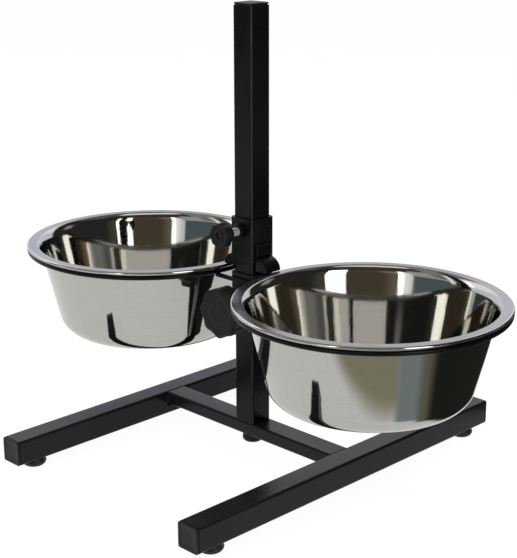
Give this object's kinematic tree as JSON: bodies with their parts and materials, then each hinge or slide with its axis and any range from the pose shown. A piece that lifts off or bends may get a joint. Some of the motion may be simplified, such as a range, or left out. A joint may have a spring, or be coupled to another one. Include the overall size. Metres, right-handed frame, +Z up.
{
  "type": "dog feeder stand",
  "caption": "Free-standing dog feeder: an H-shaped tube base, a square post, and steel bowls in wire rings on a height-adjustable clamp sleeve.",
  "frame": {"origin": "on the floor, midway between the feet and under the post's axis", "axes": "+Z up, +X along the cross bar to the right-hand bowl, and -Y towards the side with the clamp knobs"},
  "size_m": [0.5652, 0.412, 0.45],
  "materials": {
    "black_paint": "semi-gloss black powder coat",
    "black_plastic": "moulded, slightly matt",
    "glide_plastic": "moulded, smooth",
    "zinc_steel": "bright zinc plated",
    "stainless": "mirror polished stainless steel"
  },
  "bodies": {
    "base": {"foot_left": "black_paint", "foot_right": "black_paint", "cross_bar": "black_paint", "foot_welds": "black_paint", "cap_left_front": "black_plastic", "cap_left_back": "black_plastic", "cap_right_front": "black_plastic", "cap_right_back": "black_plastic", "glide_left_front": "glide_plastic", "glide_left_back": "glide_plastic", "glide_right_front": "glide_plastic", "glide_right_back": "glide_plastic", "post": "black_paint", "post_cap": "black_plastic", "post_plate": "zinc_steel", "post_bolt": "zinc_steel", "bolt_cap": "black_plastic"},
    "carrier": {"carrier_sleeve": "black_paint", "clamp_boss": "black_paint", "ring_left": "black_paint", "ring_right": "black_paint", "rod_front": "black_paint", "rod_back": "black_paint"},
    "lock": {"lock_sleeve": "black_paint", "lock_boss": "black_paint", "finger_left": "black_paint", "finger_right": "black_paint"},
    "clamp_handle": {"clamp_screw": "zinc_steel", "clamp_knob": "black_plastic"},
    "lock_handle": {"lock_screw": "zinc_steel", "lock_knob": "black_plastic"},
    "bowl_left": {"bowl_left": "stainless"},
    "bowl_right": {"bowl_right": "stainless"}
  },
  "joints": [
    {"name": "height_slide", "type": "slide", "parent": "base", "child": "carrier", "axis": [0, 0, 1], "range_m": [-0.06, 0.12]},
    {"name": "lock_slide", "type": "slide", "parent": "carrier", "child": "lock", "axis": [0, 0, 1], "range_m": [0, 0.075]},
    {"name": "clamp_knob_turn", "type": "hinge", "parent": "carrier", "child": "clamp_handle", "pos_m": [0, -0.03, 0.15606], "axis": [0, -1, 0], "range_deg": [0, 720]},
    {"name": "lock_knob_turn", "type": "hinge", "parent": "lock", "child": "lock_handle", "pos_m": [0, -0.034, 0.2333], "axis": [0, -1, 0], "range_deg": [0, 720]},
    {"name": "bowl_left_tip", "type": "hinge", "parent": "carrier", "child": "bowl_left", "pos_m": [-0.0275, 0, 0.19329], "axis": [0, 1, 0], "range_deg": [0, 20]},
    {"name": "bowl_right_tip", "type": "hinge", "parent": "carrier", "child": "bowl_right", "pos_m": [0.0275, 0, 0.19329], "axis": [0, -1, 0], "range_deg": [0, 20]}
  ]
}
